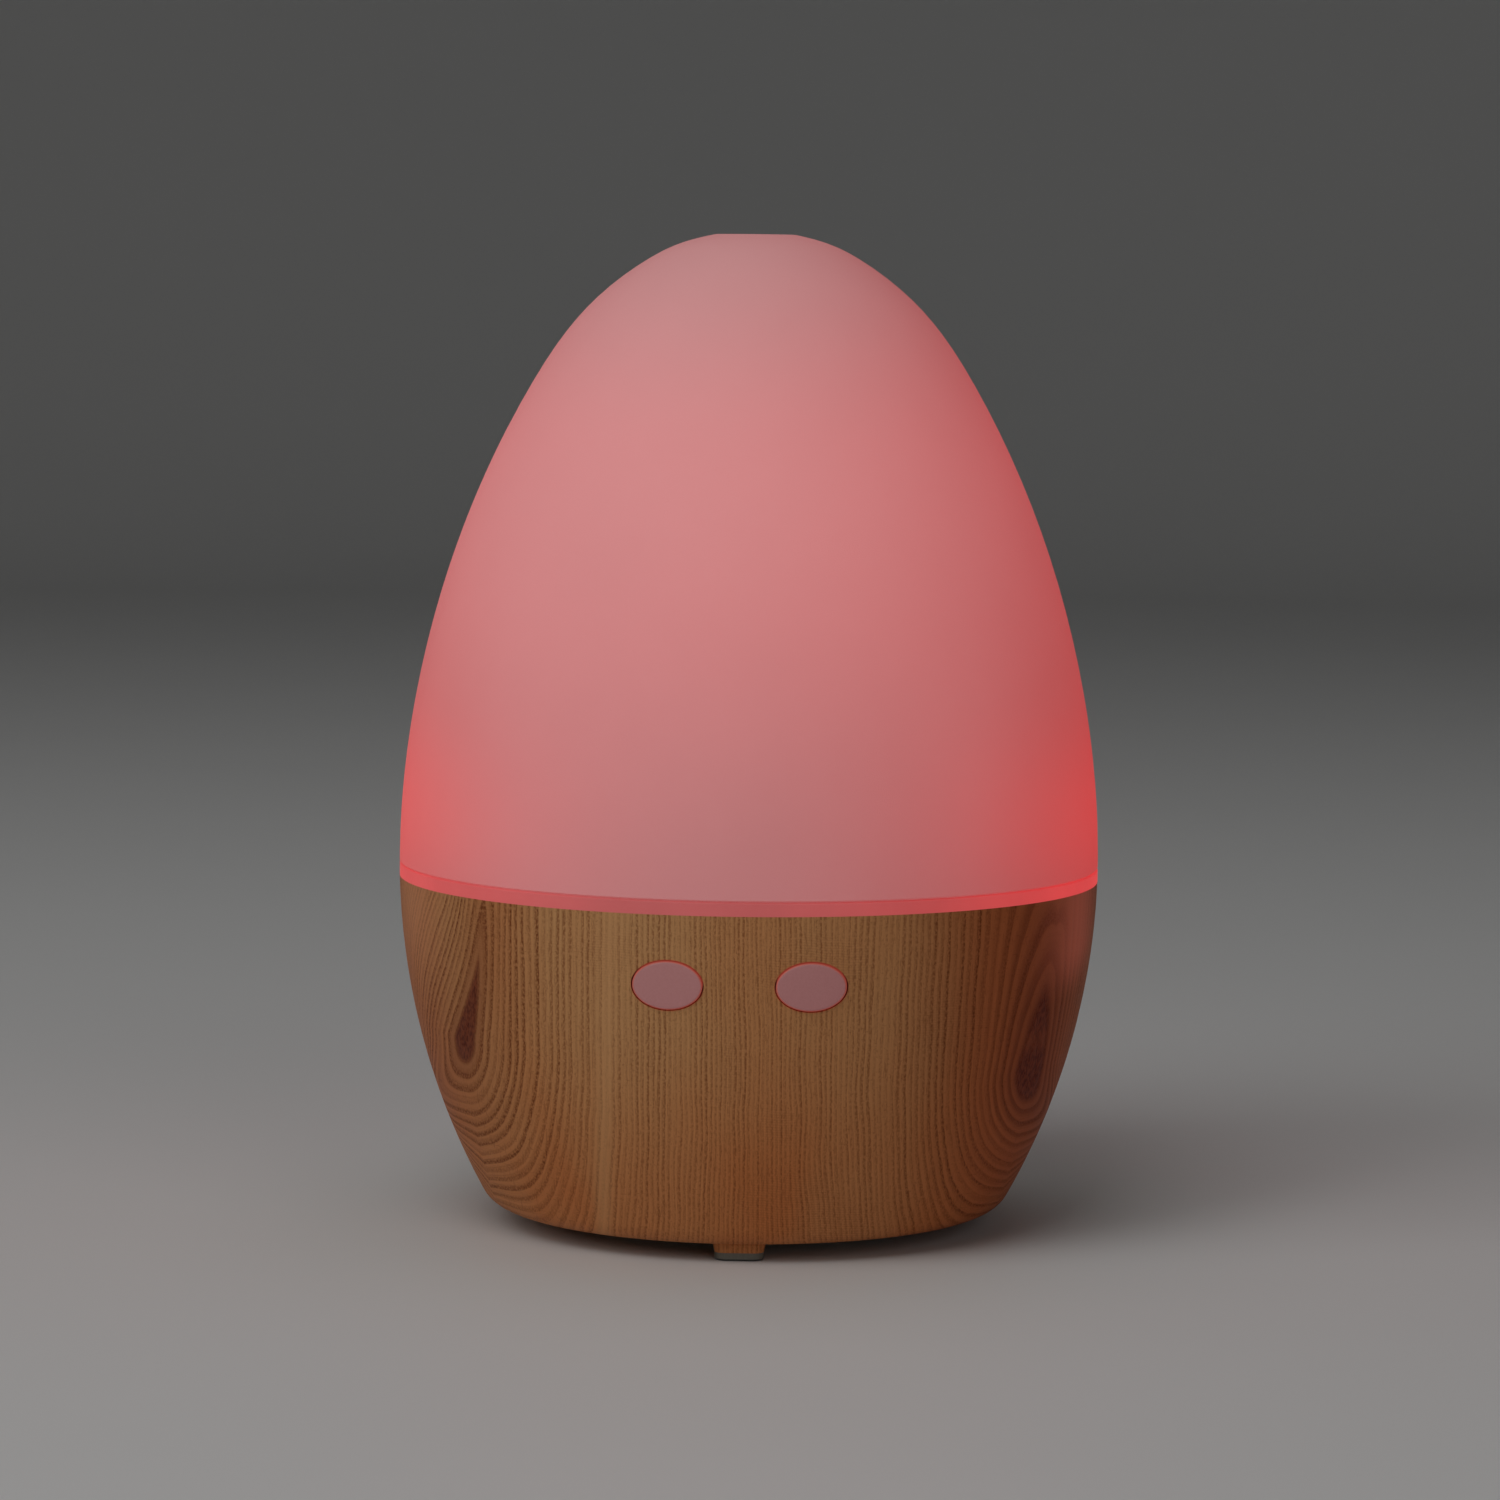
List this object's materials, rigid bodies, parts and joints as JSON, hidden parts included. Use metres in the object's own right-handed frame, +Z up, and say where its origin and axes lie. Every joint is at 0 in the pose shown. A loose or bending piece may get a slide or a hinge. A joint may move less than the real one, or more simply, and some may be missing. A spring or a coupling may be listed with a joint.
{
  "type": "cool mist humidifier",
  "caption": "Egg-shaped cool mist humidifier with a frosted lift-off cover, lit seam ring, wood-grain base, oval push buttons and rubber feet.",
  "frame": {"origin": "centre of the standing surface, on the body's axis", "axes": "+Z up along the body's axis; -Y is the front, with the push buttons; +Y is the back, with the power socket"},
  "size_m": [0.105, 0.105, 0.1484],
  "materials": {
    "wood_grain_film": "printed wood-grain film over moulded plastic, satin",
    "frosted_cover": "frosted translucent white plastic, lit from inside in red",
    "translucent_tank": "milky translucent plastic, lit from inside in red",
    "inner_cover_plastic": "milky translucent plastic",
    "button_plastic": "translucent moulded plastic, lit red at the edge",
    "foot_rubber": "dark matt rubber",
    "seal_rubber": "white silicone rubber",
    "bottom_plastic": "moulded plastic, fine texture",
    "fan_plastic": "black glass-filled plastic",
    "board": "green solder mask over fibreglass",
    "screw_steel": "zinc-plated steel",
    "brass": "bare turned brass",
    "plated_pin": "nickel-plated pin",
    "ceramic_disc": "silvered piezo ceramic",
    "retainer_aluminium": "stamped aluminium",
    "copper_winding": "enamelled copper wire",
    "ferrite": "dark sintered ferrite",
    "black_epoxy": "moulded black epoxy",
    "capacitor_can": "sleeved aluminium can",
    "led_package": "white lamp package with clear window",
    "socket_nylon": "natural nylon",
    "wire_red": "red insulation",
    "wire_black": "black insulation",
    "ribbon_grey": "grey flat cable",
    "stator_steel": "laminated steel with windings"
  },
  "bodies": {
    "base": {"air_pipe": "inner_cover_plastic", "base_shell": "wood_grain_film", "body_screws": "screw_steel", "bottom_cover": "bottom_plastic", "bottom_cover_screws": "screw_steel", "button_board": "board", "button_board_screws": "screw_steel", "button_ribbon": "ribbon_grey", "chip_resistors": "black_epoxy", "control_chip": "black_epoxy", "drive_transistor": "black_epoxy", "fan_bearing": "brass", "fan_frame": "fan_plastic", "fan_screws": "screw_steel", "fan_stator": "stator_steel", "fan_wire_black": "wire_black", "fan_wire_red": "wire_red", "fan_wire_socket": "socket_nylon", "foot_pad_front": "foot_rubber", "foot_pad_left": "foot_rubber", "foot_pad_right": "foot_rubber", "heat_sink": "retainer_aluminium", "inductor_core": "ferrite", "inductor_winding": "copper_winding", "led_1": "led_package", "led_2": "led_package", "led_3": "led_package", "led_4": "led_package", "led_5": "led_package", "led_6": "led_package", "light_switch_housing": "black_epoxy", "main_board": "board", "mist_switch_housing": "black_epoxy", "piezo_disc": "ceramic_disc", "power_socket_housing": "black_epoxy", "power_socket_pin": "plated_pin", "retainer_screws": "screw_steel", "ribbon_socket": "socket_nylon", "smoothing_capacitor": "capacitor_can", "tank_gasket": "seal_rubber", "transducer_retainer": "retainer_aluminium", "transducer_seal": "seal_rubber", "transducer_wire_black": "wire_black", "transducer_wire_red": "wire_red", "transducer_wire_socket": "socket_nylon", "water_tank": "translucent_tank"},
    "fan_rotor": {"fan_rotor": "fan_plastic", "fan_magnet": "ferrite", "fan_shaft": "screw_steel"},
    "inner_cover": {"inner_cover": "inner_cover_plastic"},
    "outer_cover": {"outer_cover": "frosted_cover"},
    "mist_button": {"mist_button": "button_plastic"},
    "mist_switch_plunger": {"mist_switch_plunger": "socket_nylon"},
    "light_button": {"light_button": "button_plastic"},
    "light_switch_plunger": {"light_switch_plunger": "socket_nylon"}
  },
  "joints": [
    {"name": "fan_spin", "type": "hinge", "parent": "base", "child": "fan_rotor", "pos_m": [0, 0, 0.01], "axis": [0, 0, 1], "continuous": true},
    {"name": "inner_cover_lift", "type": "slide", "parent": "base", "child": "inner_cover", "axis": [0, 0, 1], "range_m": [0, 0.04]},
    {"name": "outer_cover_lift", "type": "slide", "parent": "inner_cover", "child": "outer_cover", "axis": [0, 0, 1], "range_m": [0, 0.1]},
    {"name": "mist_button_press", "type": "slide", "parent": "base", "child": "mist_button", "axis": [0, 1, 0], "range_m": [0, 0.0004], "stiffness_N_per_m": 500},
    {"name": "mist_plunger_press", "type": "slide", "parent": "base", "child": "mist_switch_plunger", "axis": [0, 1, 0], "range_m": [0, 0.0004]},
    {"name": "light_button_press", "type": "slide", "parent": "base", "child": "light_button", "axis": [0, 1, 0], "range_m": [0, 0.0004], "stiffness_N_per_m": 500},
    {"name": "light_plunger_press", "type": "slide", "parent": "base", "child": "light_switch_plunger", "axis": [0, 1, 0], "range_m": [0, 0.0004]}
  ],
  "couplings": [
    {"joint": "mist_plunger_press", "follows": "mist_button_press", "ratio": 1},
    {"joint": "light_plunger_press", "follows": "light_button_press", "ratio": 1}
  ]
}
